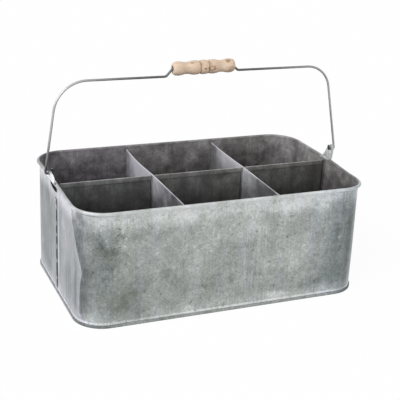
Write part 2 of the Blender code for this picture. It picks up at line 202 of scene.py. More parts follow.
class Shade:
    # one socket of a material; sums of these add Math nodes
    def __init__(self, tree, socket=None):
        self.tree = tree
        self.socket = socket

    def node(self, kind, settings=None, sockets=None, output=0):
        made = self.tree.nodes.new("ShaderNode" + kind)
        for name, value in (settings or {}).items():
            if name == "stops":
                for stop in range(len(value) - 2):
                    made.color_ramp.elements.new(0.5)
                for element, (place, colour) in zip(made.color_ramp.elements, value):
                    element.position = place
                    element.color = (*colour, 1.0)
            else:
                setattr(made, name, value)
        self.feed(made, sockets or {})
        return Shade(self.tree, made.outputs[output])

    def feed(self, node, sockets):
        # links or sets the inputs of a node
        for name, value in sockets.items():
            if isinstance(value, Shade):
                self.tree.links.new(value.socket, node.inputs[name])
            else:
                node.inputs[name].default_value = value

    def sum(self, operation, first, second):
        return self.node("Math", {"operation": operation}, {0: first, 1: second})

    def __add__(self, other):
        return self.sum("ADD", self, other)

    __radd__ = __add__

    def __sub__(self, other):
        return self.sum("SUBTRACT", self, other)

    def __rsub__(self, other):
        return self.sum("SUBTRACT", other, self)

    def __mul__(self, other):
        return self.sum("MULTIPLY", self, other)

    def fade(self, low, high):
        # 0 below low, 1 above high, smooth between
        limits = {"Value": self, "From Min": low, "From Max": high}
        return self.node("MapRange", {"interpolation_type": "SMOOTHSTEP"}, limits)

    def absolute(self):
        return self.sum("ABSOLUTE", self, 0.0)

    def blend(self, first, second, how="MIX"):
        # first where this is 0, second where it is 1
        mixed = {"data_type": "RGBA", "blend_type": how}
        colours = [shade if isinstance(shade, Shade) else (*shade, 1.0) for shade in (first, second)]
        return self.node("Mix", mixed, {0: self, 6: colours[0], 7: colours[1]}, 2)

    def axis(self, name):
        return self.node("SeparateXYZ", None, {0: self}, name)

    def stretched(self, scale, shift=(0.0, 0.0, 0.0)):
        return self.node("Mapping", None, {"Vector": self, "Scale": scale, "Location": shift})

    def noise(self, scale, detail=4.0, rough=0.55, twist=0.0):
        return self.node("TexNoise", None, {
            "Vector": self, "Scale": scale, "Detail": detail, "Roughness": rough, "Distortion": twist})

    def vectors(self, operation, *values, output=0):
        sockets = dict(enumerate((self, *values)))
        return self.node("VectorMath", {"operation": operation}, sockets, output)

    def softPatch(self, centre, reach):
        # 1 at the centre, falling to 0 at the reach in each direction; both in millimetres
        away = self.vectors("SUBTRACT", Vector(centre) * mm)
        scaled = away.vectors("DIVIDE", Vector(reach) * mm)
        return 1 - scaled.vectors("LENGTH", output="Value").fade(0.1, 1.0)

    def patched(self, level, patches):
        # the level raised or lowered by patches of (centre, reach, amount)
        for centre, reach, amount in patches:
            level = level + self.softPatch(centre, reach) * amount
        return level

    def ragged(self, scale, amount):
        # this place shaken by noise, so that patches have uneven edges
        shake = self.node("TexNoise", None, {"Vector": self, "Scale": scale, "Detail": 4.0}, "Color")
        centred = shake.vectors("SUBTRACT", (0.5, 0.5, 0.5))
        return centred.vectors("MULTIPLY_ADD", (amount, amount, amount), self)


def newFinish(name):
    material = bpy.data.materials.new(name)
    material.use_nodes = True
    shade = Shade(material.node_tree)
    spot = shade.node("TexCoord", None, None, "Object")
    return material, shade, material.node_tree.nodes["Principled BSDF"], spot


zincTones = {
    "dark": (0.075, 0.090, 0.084), "mid": (0.200, 0.222, 0.207),
    "light": (0.375, 0.398, 0.380), "wearAndHighlight": (0.680, 0.700, 0.685),
    "stain": (0.115, 0.112, 0.078), "cool": (0.97, 0.98, 1.04),
    "flank": (0.965, 0.985, 1.045), "endTint": (1.0, 0.965, 1.06),
    "roughness": 0.46, "metallic": 0.30, "bump": 0.20, "level": 0.53,
    "clouds": 0.45, "blotches": 0.62, "speckle": 0.66, "flecks": 0.38,
    "spangle": 0.06, "streaks": 0.30, "runs": 0.25,
}
# noise in the zinc, as (scale, detail, roughness, twist), and places on the crate
grain = {
    "clouds": (15, 5, 0.6, 0.5), "blotches": (62, 6, 0.66, 0.3), "speckle": (430, 3, 0.7),
    "flecks": (190, 4, 0.65, 0.4), "stains": (38, 5, 0.7, 1.0), "spangle": 230.0,
    "streaks": (620, 3, 0.6), "streakRun": (1, 1, 0.05),
    "runs": (85, 4, 0.6), "runRun": (1, 1, 0.09),
    "leftEnd": (-172 * mm, -187 * mm), "rolledRim": (145 * mm, 147 * mm),
    "leftFlank": (-150 * mm, -172 * mm), "rightFlank": (95 * mm, 150 * mm), "lilac": (-30 * mm, -110 * mm),
    # where the crease's painted highlight and painted shade begin and end
    "creaseStep": (-0.4 * mm, 0.5 * mm), "creaseEdge": (-10 * mm, -1 * mm),
    "creaseShadeRun": (2.5 * mm, 12 * mm),
}


def zincFinish(name, seed, tones, patches=(), marks=(), bands=(),
               dashes=(), flecked=(), soiled=(), creased=False):
    # hot-dipped zinc: clouds, blotches, spangle, speckle, drawn streaks, runs and a few brown stains;
    # patches have uneven edges, marks are exactly placed and dashes are broken lines down the sheet;
    # many patches, marks, bands and dashes are painted light and shade
    material, shade, shader, spot = newFinish(name)
    place = spot.stretched((1, 1, 1), seed)
    clouds = place.noise(*grain["clouds"])
    blotches = place.noise(*grain["blotches"])
    speckle = place.noise(*grain["speckle"])
    crystals = shade.node("TexVoronoi", None, {"Vector": place, "Scale": grain["spangle"]}, "Color")
    streaks = place.stretched(grain["streakRun"]).noise(*grain["streaks"])
    runs = place.stretched(grain["runRun"]).noise(*grain["runs"])
    fine = (speckle - 0.5) * tones["speckle"] + (crystals - 0.5) * tones["spangle"]
    drawn = (streaks - 0.5) * tones["streaks"] * (0.4 + place.noise(21).fade(0.45, 0.65) * 1.4)
    coarse = (clouds - 0.5) * tones["clouds"] + (blotches - 0.5) * tones["blotches"]
    if "flecks" in tones:
        flecks = place.noise(*grain["flecks"])
        strength = spot.patched(tones["flecks"], flecked)
        fine = fine + (flecks.fade(0.56, 0.76) * 0.65 - flecks.fade(0.42, 0.26)) * strength
    ends = None
    if "endTint" in tones:
        ends = spot.axis("X").fade(*grain["leftEnd"])
        fine = fine * (1 - ends * 0.6)
        drawn = drawn * (1 + ends * 2.0)
        coarse = coarse * (1 - ends * 0.15)
        rolled = spot.axis("Z").fade(*grain["rolledRim"])
        fine = fine * (1 - rolled * 0.6)
        drawn = drawn * (1 - rolled)
        tinted = ends * (1 - rolled * 0.7)
    level = tones["level"] + coarse + fine + drawn + (runs - 0.5) * tones["runs"]
    if patches or soiled:
        uneven = spot.ragged(60, 20 * mm)
        level = uneven.patched(level, patches)
    level = spot.patched(level, marks)
    if dashes:
        turns = spot.axis("Z") * 330 + spot.noise(40) * 7
        broken = shade.sum("SINE", turns, 0.0).fade(-0.7, 0.0)
        for centre, reach, amount in dashes:
            level = level + spot.softPatch(centre, reach) * broken * amount
    for low, high, amount in bands:
        level = level + spot.axis("Z").fade(low * mm, high * mm) * amount
    if creased:
        # at the crease: a painted highlight on the ridge's edge and painted shade on the flattened face in
        # front
        past, depth = (shade.node("Attribute", {"attribute_name": mark}, None, "Fac")
                       for mark in ("creasePast", "creaseDepth"))
        step = past.fade(*grain["creaseStep"])
        paintedShade = step - past.fade(*grain["creaseShadeRun"])
        edge = past.fade(*grain["creaseEdge"]) - step
        level = level + depth * (edge * crease["wearAndHighlight"] - paintedShade * crease["paintedShade"])
    stops = [(0.0, tones["dark"]), (0.34, tones["mid"]), (0.66, tones["light"]), (1.0, tones["wearAndHighlight"])]
    colour = shade.node("ValToRGB", {"stops": stops}, {0: level})
    if "cool" in tones:
        colour = (runs.fade(0.45, 0.62) * 0.8).blend(colour, tones["cool"], "MULTIPLY")
    if "flank" in tones:
        aside = spot.axis("X") + (clouds - 0.5) * 0.06
        flanks = aside.fade(*grain["rightFlank"]) + aside.fade(*grain["leftFlank"]) * (1 - ends) * 0.4
        colour = flanks.blend(colour, tones["flank"], "MULTIPLY")
    if "warm" in tones:
        colour = place.noise(8, 3).fade(0.42, 0.58).blend(colour, tones["warm"], "MULTIPLY")
        colour = spot.axis("X").fade(*grain["lilac"]).blend(colour, tones["lilac"], "MULTIPLY")
    if ends:
        colour = tinted.blend(colour, tones["endTint"], "MULTIPLY")
    stains = place.noise(*grain["stains"]).fade(0.62, 0.78) * 0.5
    if soiled:
        stains = uneven.patched(stains, soiled)
    colour = stains.blend(colour, tones["stain"])
    height = blotches * 0.5 + speckle * 0.25 + clouds * 0.6
    normal = shade.node("Bump", None, {"Strength": tones["bump"], "Distance": 0.4 * mm, "Height": height})
    rough = tones["roughness"] + (blotches - 0.5) * 0.3 + (speckle - 0.5) * 0.15
    shade.feed(shader, {
        "Base Color": colour, "Roughness": rough, "Metallic": tones["metallic"], "Normal": normal})
    return material


insideTones = {
    "dark": (0.050, 0.047, 0.048), "mid": (0.120, 0.114, 0.116),
    "light": (0.235, 0.226, 0.230), "wearAndHighlight": (0.430, 0.420, 0.425),
    "stain": (0.082, 0.068, 0.054),
    "warm": (1.008, 1.0, 0.972), "lilac": (1.0, 0.975, 1.045),
    "roughness": 0.55, "metallic": 0.25, "bump": 0.2, "level": 0.42,
    "clouds": 0.9, "blotches": 1.5, "speckle": 0.45,
    "spangle": 0.05, "streaks": 0.25, "runs": 0.3,
}
# the long divider takes a darker copy and the cross dividers a lighter one: painted shade on the face
# turned from the key light and painted light on the faces towards it
longTones = dict(insideTones, level=-0.04, light=(0.225, 0.226, 0.228), mid=(0.110, 0.111, 0.112),
                 clouds=0.6, blotches=1.0, warm=(1.01, 1.0, 0.96), lilac=(0.985, 1.0, 1.03))
crossTones = dict(insideTones, level=0.26, light=(0.345, 0.348, 0.370), mid=(0.150, 0.151, 0.158),
                  wearAndHighlight=(0.580, 0.580, 0.610), blotches=0.9, warm=(1.0, 1.0, 1.0))
wireTones = {
    "dark": (0.065, 0.063, 0.063), "mid": (0.120, 0.117, 0.117),
    "light": (0.260, 0.255, 0.255), "wearAndHighlight": (0.560, 0.555, 0.555),
    "stain": (0.085, 0.068, 0.058),
    "roughness": 0.36, "metallic": 0.45, "bump": 0.08, "level": 0.30,
    "clouds": 0.3, "blotches": 0.2, "speckle": 0.1,
    "spangle": 0.0, "streaks": 0.0, "runs": 0.0,
}

# Crate plan, from the frame
crate = {
    "cornerRadius": 36.5 * mm,
    "sheet": 0.6 * mm,
    "seat": 0.3 * mm,  # gap between seated pieces
    "rimWire": 1.2 * mm, "rimWireSides": 16,
    "lipOut": 1.5 * mm,
    "cornerSteps": 28, "stride": 8 * mm,
}
cornerRadius, sheet, seat = crate["cornerRadius"], crate["sheet"], crate["seat"]
wallLow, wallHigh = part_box("body_wall")
curlInner = crate["rimWire"] + seat
curlOuter = curlInner + sheet
rimTop = wallHigh.z
halfLength = wallHigh.x - curlInner - curlOuter
halfDepth = wallHigh.y - curlInner - curlOuter
flatLength = halfLength - cornerRadius
flatDepth = halfDepth - cornerRadius


def carryRound(name, section, closed):
    # draws a section of (outward, height) points on the right end and carries it round the crate
    start = Vector((halfLength, -flatDepth, 0))
    piece = drawChain(name, [start + Vector((out, 0, z)) for out, z in section], closed)
    heading = Vector((0, 1, 0))
    for x, y in ((1, 1), (-1, 1), (-1, -1), (1, -1)):
        reach = flatDepth if x == y else flatLength
        stops = spread(-reach, reach, crate["stride"])
        for here, there in zip(stops, stops[1:]):
            pull(heading * (there - here))
        turn((x * flatLength, y * flatDepth, 0), (0, 0, 1), quarter, crate["cornerSteps"])
        heading = Vector((-heading.y, heading.x, 0))
    return piece


# Wall with its rolled rim
wall = {
    "rowPitch": 4.4 * mm,
    "curlTurn": math.radians(300), "curlSteps": 20,
    "lipTop": 3.9 * mm,  # where the foot goes into the base seam
    "flareOut": 0.4 * mm, "flareTop": 9 * mm,
    "flareGap": 0.25 * mm, "flarePitch": 0.75 * mm,
    "faceTop": 145 * mm,
    "notchHalf": 11.3 * mm, "notchFloor": 146.4 * mm,
    # the opening torn under the rim at the left ear, as (y, height)
    "torn": [(-6.5, 144.8), (-8.5, 142), (-8, 138.8), (-4.5, 136), (2, 134.6), (12, 134.2),
             (20, 135), (26, 137.8), (28, 141.5), (25, 145.0), (18, 145.6), (-2, 145.6)],
    "seamAt": -0.8 * mm, "seamWidth": 10 * mm,
    "seamRaise": 1.5 * mm,
    "seamLow": 5.2 * mm, "seamHigh": 127 * mm,
    "cutMargin": 3 * mm,  # how far cutting tools stand clear of the sheet
    "rimInside": -0.3,  # faces of the rim that look in by more than this are dark
}
crease = {
    # down the corner, as (height, how far round it)
    "line": [(z * mm, run * mm) for z, run in (
        (146, -9), (134, -1), (124, 8.7), (105, 13.3), (71, 23.2), (60, 20.9), (48, 19.6), (7, 19))],
    "column": 9,  # the step of the corner that is drawn onto the line
    "drawnFrom": 42 * mm,
    "drawnBelow": 20 * mm,  # it comes in over these runs below the rim
    "shapedBelow": 24 * mm,
    # the painted highlight and shade of the crease come in over this run below the rim
    "paintedBelow": 8 * mm,
    "footRun": (-2 * mm, 14 * mm),
    "ridge": 3.4 * mm, "ridgeRun": 28 * mm,
    "hollow": 3.4 * mm, "hollowRun": 44 * mm,
    "faceRun": 15 * mm,
    # how strong the painted highlight on the ridge and the painted shade in front of it are
    "wearAndHighlight": 0.11, "paintedShade": 0.28,
}
warp = {
    "leansIn": 3.0 * mm,  # how far the right end is pushed in before its front corner
    "leanFrom": 10 * mm, "leanRun": 58 * mm, "leanTo": 82 * mm,
    "leanHeights": (50 * mm, 140 * mm),
    "sags": 1.5 * mm,  # how much lower the rim is in front than at the ears
    "sagRun": (8 * mm, 76 * mm),
    "sagHeights": (90 * mm, 146 * mm),
}


def wallSection():
    foot = wallLow.z
    flare = []
    for height in spread(wall["lipTop"] + wall["flareGap"], wall["flareTop"], wall["flarePitch"]):
        share = (wall["flareTop"] - height) / (wall["flareTop"] - wall["lipTop"])
        flare.append((wall["flareOut"] * share ** 2, height))
    face = [(0.0, z) for z in spread(wall["flareTop"], wall["faceTop"], wall["rowPitch"])[1:]]
    centre = (curlInner, rimTop - curlOuter)
    half = math.radians(180)
    section = [(0.0, foot), (0.0, wall["lipTop"])] + flare + face
    section += arcOf(centre, curlInner, half, half - wall["curlTurn"], wall["curlSteps"])
    section += arcOf(centre, curlOuter, half - wall["curlTurn"], half, wall["curlSteps"])
    section += [(-sheet, z) for z in spread(wall["faceTop"], foot, wall["rowPitch"])]
    return section


def creaseAt(height):
    line = crease["line"]
    for (highZ, highRun), (lowZ, lowRun) in zip(line, line[1:]):
        if height >= lowZ:
            return highRun + (lowRun - highRun) * (highZ - min(height, highZ)) / (highZ - lowZ)
    return line[-1][1]


def cornerRun(x, y):
    # how far round the front left corner a place is, from the end of the left flat, and how far out
    if y >= -flatDepth:
        return -flatDepth - y, -halfLength - x
    if x >= -flatLength:
        return cornerRadius * quarter + x + flatLength, -halfDepth - y
    angle = math.atan2(-flatDepth - y, -flatLength - x)
    return cornerRadius * angle, math.hypot(x + flatLength, y + flatDepth) - cornerRadius


def cornerSpot(run, out):
    bend = cornerRadius * quarter
    if run <= 0:
        return -halfLength - out, -flatDepth - run
    if run >= bend:
        return run - bend - flatLength, -halfDepth - out
    angle, radius = run / cornerRadius, cornerRadius + out
    return -flatLength - radius * math.cos(angle), -flatDepth - radius * math.sin(angle)


def creaseCorner(piece):
    # the front left corner is knocked: a ridge runs down it, with a flattened face in front;
    # one column of edges is drawn onto the ridge, and the finish reads how far past it a place is,
    # to paint a highlight on the ridge's edge and shade on the face in front
    pastMark = piece.data.attributes.new("creasePast", "FLOAT", "POINT")
    depthMark = piece.data.attributes.new("creaseDepth", "FLOAT", "POINT")
    high, low = crease["line"][0][0], crease["line"][-1][0]
    held = cornerRadius * quarter * crease["column"] / crate["cornerSteps"]
    for vertex in piece.data.vertices:
        x, y, z = vertex.co
        if x > 0 or y > 0 or not low < z < high:
            continue
        run, out = cornerRun(x, y)
        near = max(0.0, 1 - abs(run - held) / crease["drawnFrom"])
        run += (creaseAt(z) - held) * near * ease(z, high, high - crease["drawnBelow"])
        past = run - creaseAt(z)
        foot = ease(z - low, *crease["footRun"])
        amount = ease(z, high, high - crease["shapedBelow"]) * foot
        ridge, hollow = crease["ridge"] * amount, crease["hollow"] * amount
        if past < 0:
            shift = ridge * max(0.0, 1 + past / crease["ridgeRun"]) ** 2
        elif past < crease["faceRun"]:
            shift = ridge - (ridge + hollow) * past / crease["faceRun"]
        else:
            shift = -hollow * (1 - ease(past, crease["faceRun"], crease["hollowRun"]))
        vertex.co.x, vertex.co.y = cornerSpot(run, out + shift)
        pastMark.data[vertex.index].value = past
        # how strongly the finish paints the crease's highlight and shade here
        depthMark.data[vertex.index].value = ease(z, high, high - crease["paintedBelow"]) * foot


def settle(piece):
    # the rim sags a little in front, and the right end leans in from its ear to the front corner
    for vertex in piece.data.vertices:
        x, y, z = vertex.co
        run = min(1.0, max(0.0, -y - warp["leanFrom"]) / warp["leanRun"])
        run *= ease(-y, halfDepth, warp["leanTo"]) * ease(x, flatLength, halfLength)
        vertex.co.x -= warp["leansIn"] * run * ease(z, *warp["leanHeights"])
        vertex.co.z -= warp["sags"] * ease(-y, *warp["sagRun"]) * ease(z, *warp["sagHeights"])


def makeWall():
    margin = wall["cutMargin"]
    piece = carryRound("wall_and_rim", wallSection(), True)
    weld(piece)
    for side in (-1, 1):
        ends = sorted((side * (halfLength - margin), side * (wallHigh.x + margin)))
        low = (ends[0], -wall["notchHalf"], wall["notchFloor"])
        cutWith(piece, block(low, (ends[1], wall["notchHalf"], rimTop + margin)), "DIFFERENCE")
    torn = [(-halfLength - margin, y * mm, z * mm) for y, z in wall["torn"]]
    cutWith(piece, prism("torn_outline", torn, (2 * margin, 0, 0)), "DIFFERENCE")
    half = wall["seamWidth"] / 2
    low = (-halfLength - wall["seamRaise"], wall["seamAt"] - half, wall["seamLow"])
    high = (-halfLength + sheet / 2, wall["seamAt"] + half, wall["seamHigh"])
    cutWith(piece, block(low, high, wall["seamRaise"] / 2), "UNION")
    creaseCorner(piece)
    settle(piece)
    smoothed(piece, 31)
    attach(piece, "crate")
    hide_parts("body_wall")
    return piece


def isInside(face):
    # true for faces of the wall and its rim that look into the crate
    spot = face.center
    core = (max(-flatLength, min(flatLength, spot.x)), max(-flatDepth, min(flatDepth, spot.y)), spot.z)
    facing = face.normal.dot((spot - Vector(core)).normalized())
    return facing < 0 and spot.z < rimTop - curlOuter or facing < wall["rimInside"]


# lighter and darker patches of the outside, in millimetres: partly mottling and patina of the zinc, partly
# painted shade darkening the front towards its corners; on the front and the left end they are
# (place along it, height, reach, reach up, how much lighter or darker)
frontAt, endAt, patchDeep = -117, -190, 40
frontPatches = [
    (-130, 52, 56, 42, -0.10), (-126, 42, 26, 18, -0.08), (-132, 20, 46, 20, -0.14),
    (-110, 8, 60, 12, -0.12), (-45, 66, 40, 34, 0.14), (-40, 20, 36, 20, 0.08),
    (0, 112, 80, 30, 0.12), (60, 98, 50, 30, 0.10), (80, 66, 44, 30, 0.16),
    (88, 50, 24, 20, 0.12), (78, 128, 40, 20, 0.18), (122, 126, 26, 20, 0.06),
    (140, 32, 26, 28, -0.20), (140, 62, 18, 20, -0.16), (112, 20, 30, 14, -0.16),
    (146, 92, 12, 26, -0.16), (152, 134, 26, 16, -0.16), (-52, 124, 48, 20, 0.15),
    (-44, 90, 36, 28, 0.14), (60, 10, 38, 10, 0.22), (44, 60, 24, 18, 0.12),
    (66, 106, 24, 18, 0.10), (-138, 64, 14, 16, 0.14), (120, 136, 16, 10, -0.14),
    (-60, 11, 16, 9, 0.16),
]
endPatches = [
    (66, 64, 26, 60, -0.20), (32, 84, 40, 56, -0.18), (40, 120, 26, 30, -0.10),
    (66, 116, 24, 30, -0.22), (44, 32, 40, 36, -0.18), (-46, 100, 34, 50, 0.06),
    (-62, 42, 34, 40, -0.16),
]
# round the left corner, as (centre, reach, how much): painted shade on the face beside the crease
wallPatches = [
    ((-166, -115, 107), (9, 30, 10), -0.26), ((-154, -116, 99), (13, 30, 9), -0.22),
    ((-158, -116, 78), (20, 30, 10), -0.20), ((-168, -112, 62), (22, 30, 66), -0.15),
    ((-160, -116, 98), (26, 30, 26), -0.20), ((-182, -102, 126), (24, 30, 34), -0.16),
    ((-187, -95, 138), (13, 16, 16), -0.40), ((-160, -112, 12), (16, 40, 9), -0.16),
]
wallPatches += [((x, frontAt, z), (wide, patchDeep, tall), much) for x, z, wide, tall, much in frontPatches]
wallPatches += [((endAt, y, z), (patchDeep, wide, tall), much) for y, z, wide, tall, much in endPatches]
# the same, but exactly placed: the lock seam, with a painted highlight and painted shade beside it, the
# rim, darker at the left end, the back and the right, the right corner, with painted shade and a painted
# highlight, and the lines under the rim, a painted shadow
wallMarks = [
    ((-190, -10.5, 70), (14, 4.6, 92), 0.42),
    ((-189, -90, 48), (12, 6, 52), -0.26),
    ((-190, -20.0, 74), (14, 6.0, 110), -0.14),
    ((-192, -30, 149), (6, 100, 4), -0.12),
    ((-192, 74, 149), (8, 40, 6), -0.34),
    ((0, 119, 149), (600, 12, 9), -0.40),
    ((193, 0, 149), (12, 300, 9), -0.30),
    ((158, -116, 75), (26, 30, 140), -0.20),
    ((169, -113, 75), (9, 20, 140), -0.25),
    ((186, -96, 70), (12, 14, 140), 0.14),
    ((-170, -106, 143.6), (50, 36, 1.9), -0.42),
    ((172, -106, 143.6), (54, 36, 1.9), -0.34),
]
# painted shade: a broken dark line down the front step of the lock seam
wallDashes = [((-190.8, -5.8, 66), (14, 1.5, 120), -0.75)]
# brown with age
wallSoil = [((-146, -117, 32), (38, 40, 20), 0.34), ((-125, -117, 39), (9, 40, 12), 0.42),
            ((-162, -116, 94), (20, 40, 16), 0.28), ((-146, -117, 84), (18, 40, 12), 0.22)]
wallFlecks = [((-158, -116, 112), (36, 40, 44), 0.55)]  # where the zinc is coarser
# inside: a painted shadow line where the long divider meets the right end, and darker patches on the right
# end and the back
insideMarks = [((189.5, -2, 75), (4, 3, 120), -0.5), ((190, -70, 90), (30, 70, 90), -0.36),
               ((136, 117, 100), (64, 30, 90), -0.13)]
# heights between which the sheet gets lighter or darker: painted light high up and just under the rim,
# a slightly darker top to the roll, lighter towards the foot and a painted highlight on the foot's flare
wallBands = [(116, 138, 0.34), (140.5, 143.5, 0.16), (145.6, 146.6, -0.18), (22, 9, 0.16), (7.9, 5.9, 0.26)]
# painted light towards the top of the inside faces; the top of the rim is a little darker
insideBands = [(100, 144, 0.30), (144.5, 147, -0.10)]
wallPiece = makeWall()
paint(wallPiece,
      zincFinish("zinc_wall", (0.0, 0.0, 0.0), zincTones, wallPatches, wallMarks, wallBands,
                 wallDashes, wallFlecks, wallSoil, True),
      zincFinish("zinc_wall_inside", (0.31, 0.12, 0.05), insideTones, (), insideMarks, insideBands))
for face in wallPiece.data.polygons:
    face.material_index = 1 if isInside(face) else 0
print("wall:", len(wallPiece.data.polygons), "faces")

# Base pan, its edge knocked up round the wall's foot
base = {
    "lipHeight": 3.7 * mm,
    "bottomRound": 0.6 * mm, "topRound": 0.7 * mm,
    "floorBorder": 18 * mm,
    "steps": 5,
}


def makeBase():
    out, low, top = crate["lipOut"], base["bottomRound"], base["topRound"]
    section = [(-base["floorBorder"], 0.0)]
    section += arcOf((out - low, low), low, -quarter, 0.0, base["steps"])
    section += arcOf((out - top, base["lipHeight"] - top), top, 0.0, quarter, base["steps"])
    section += arcOf((seat + low, base["lipHeight"] - low), low, quarter, 2 * quarter, base["steps"])
    section += [(seat, sheet), (-base["floorBorder"], sheet)]
    piece = carryRound("base_pan_seamed", section, False)
    weld(piece)
    for height in (0.0, sheet):
        edit(piece)
        pick(piece, "EDGE", lambda e: e.is_boundary and abs(middle(e).z - height) < 0.1 * mm)
        bpy.ops.mesh.edge_face_add()
    weld(piece)
    smoothed(piece)
    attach(piece, "crate")
    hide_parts("base_pan")
    return piece


# painted shade: the base is darker along its bottom edge and round both front corners
baseBands = [(1.2, 0.1, -0.45)]
baseMarks = [((-182, -106, 2), (60, 44, 12), -0.30), ((178, -106, 2), (36, 40, 12), -0.40)]
baseTones = dict(zincTones, level=0.48)
basePiece = makeBase()
paint(basePiece, zincFinish("zinc_base", (0.7, 0.2, 0.4), baseTones, (), baseMarks, baseBands))
print("base:", len(basePiece.data.polygons), "faces")

# Dividers, folded from sheet
dividers = {
    "foot": 0.9 * mm, "top": 145.9 * mm,
    "hemHeight": 6 * mm, "hemRadius": 0.5 * mm,
    "flange": 12 * mm, "flangeDrop": 16 * mm,
    "fold": 2 * mm,
    "foldSteps": 5, "hemSteps": 6,
    "hemInset": 2 * mm,  # how far the hem stops short of the folds
    "stride": 9 * mm, "rowPitch": 12 * mm,
    "slotBack": 2.8 * mm,  # the slots are wider to the left of what they hold
    "slotAhead": 1.0 * mm,
    "places": {"left": -61.6 * mm, "right": 66.2 * mm},
    "bow": {"left": 2.3 * mm, "right": 1.2 * mm},  # how far the back half is bent to the left
    "backEnd": {"left": 1.4 * mm, "right": 2.2 * mm},  # how far the ends stand to the right
    "frontEnd": {"left": -1.0 * mm, "right": -2.6 * mm},
}
places = dividers["places"]
lapHeight = (dividers["foot"] + dividers["top"]) / 2
hemBase = dividers["top"] - dividers["hemHeight"]
foldedTop = dividers["top"] - dividers["hemRadius"] - sheet / 2


def makeDivider(name, node, along, across, origin, halfRun, slots, slotsFromTop):
    # along and across are the plan directions of the sheet's run and of its folded ends
    fold = dividers["fold"] - sheet / 2
    flatHalf = halfRun - dividers["fold"]
    marks = [place + edge for place in slots for edge in (-dividers["slotBack"], dividers["slotAhead"])]
    marks += [-flatHalf + dividers["hemInset"], flatHalf - dividers["hemInset"]]
    end = halfRun - sheet / 2
    plan = [(-end, dividers["flange"])]
    plan += arcOf((-flatHalf, fold), fold, 2 * quarter, 3 * quarter, dividers["foldSteps"])
    plan += [(place, 0.0) for place in spread(-flatHalf, flatHalf, dividers["stride"], marks)[1:-1]]
    plan += arcOf((flatHalf, fold), fold, -quarter, 0.0, dividers["foldSteps"])
    plan += [(end, dividers["flange"])]
    origin, along, across, up = Vector(origin), Vector(along), Vector(across), Vector((0, 0, 1))
    points = [origin + along * u + across * v + up * dividers["foot"] for u, v in plan]
    piece = drawChain(name, points)
    trim = dividers["top"] - dividers["flangeDrop"]
    heights = spread(dividers["foot"], foldedTop, dividers["rowPitch"], (lapHeight, hemBase, trim))
    for here, there in zip(heights, heights[1:]):
        pull(up * (there - here))

    def runOf(item):
        return (middle(item) - origin).dot(along)

    def sideOf(item):
        return (middle(item) - origin).dot(across)

    flat = flatHalf - dividers["hemInset"] - 0.1 * mm
    pick(piece, "EDGE", lambda e: middle(e).z > foldedTop - 1e-5 and abs(runOf(e)) < flat and e.is_boundary)
    hinge = origin - across * dividers["hemRadius"] + up * foldedTop
    turn(hinge, along, 2 * quarter * (1 if along.cross(across).z > 0 else -1), dividers["hemSteps"])
    pull(up * (hemBase - foldedTop))
    pick(piece, "FACE", lambda f: sideOf(f) > fold * 0.6 and middle(f).z > trim and abs(runOf(f)) > flat)
    bpy.ops.mesh.delete(type="FACE")

    def inSlot(face):
        near = any(-dividers["slotBack"] < runOf(face) - place < dividers["slotAhead"] for place in slots)
        return near and (middle(face).z > lapHeight) == slotsFromTop

    pick(piece, "FACE", inSlot)
    bpy.ops.mesh.delete(type="FACE")
    weld(piece)
    applyModifier(piece, "SOLIDIFY", thickness=sheet, offset=0.0, use_even_offset=True)
    smoothed(piece)
    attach(piece, "crate")
    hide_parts(node)
    return piece


# painted shade: dark lines where the long divider meets the right end and just left of each cross divider
longMarks = [((188.5, 0, 75), (4, 6, 120), -0.6)]
longMarks += [((place / mm - 2.6, 0, 110), (2.4, 4, 70), -0.6) for place in places.values()]
# painted highlights along the top edge and the hem's lower edge, and painted light on the upper half
longFinish = zincFinish("zinc_divider_long", (0.11, 0.57, 0.23), longTones, (), longMarks,
                        [(144.8, 145.6, 0.30), (80, 142, 0.44), (139.6, 140.2, 0.10)])
# painted light: the upper back parts of the cross dividers are lighter, the left one most, with a painted
# highlight along the top edge
crossMarks = [((place / mm, 25, 150), (40, 100, 48), 0.85) for place in places.values()]
crossMarks += [((-62, 70, 130), (14, 60, 40), 0.38), ((65, 70, 130), (14, 60, 40), 0.10)]
crossFinish = zincFinish("zinc_divider_cross", (0.37, 0.17, 0.63), crossTones, (), crossMarks,
                         [(144.8, 145.6, 0.40)])
longRun = halfLength - sheet - seat
crossRun = halfDepth - sheet - seat
longPiece = makeDivider("divider_long", "long_divider", (1, 0, 0), (0, 1, 0), (0, 0, 0), longRun,
                        places.values(), True)
paint(longPiece, longFinish)
for label, place in places.items():
    piece = makeDivider("divider_cross_" + label, "cross_divider_" + label, (0, -1, 0), (1, 0, 0),
                        (place, 0, 0), crossRun, (0.0,), False)
    paint(piece, crossFinish)
    for vertex in piece.data.vertices:
        share = max(-1.0, min(1.0, vertex.co.y / crossRun))
        if share > 0:
            bent = dividers["bow"][label] * math.sin(math.pi * share)
            vertex.co.x += dividers["backEnd"][label] * share - bent
        else:
            vertex.co.x -= dividers["frontEnd"][label] * share
print("dividers:", len(longPiece.data.polygons), "and", len(piece.data.polygons), "faces")

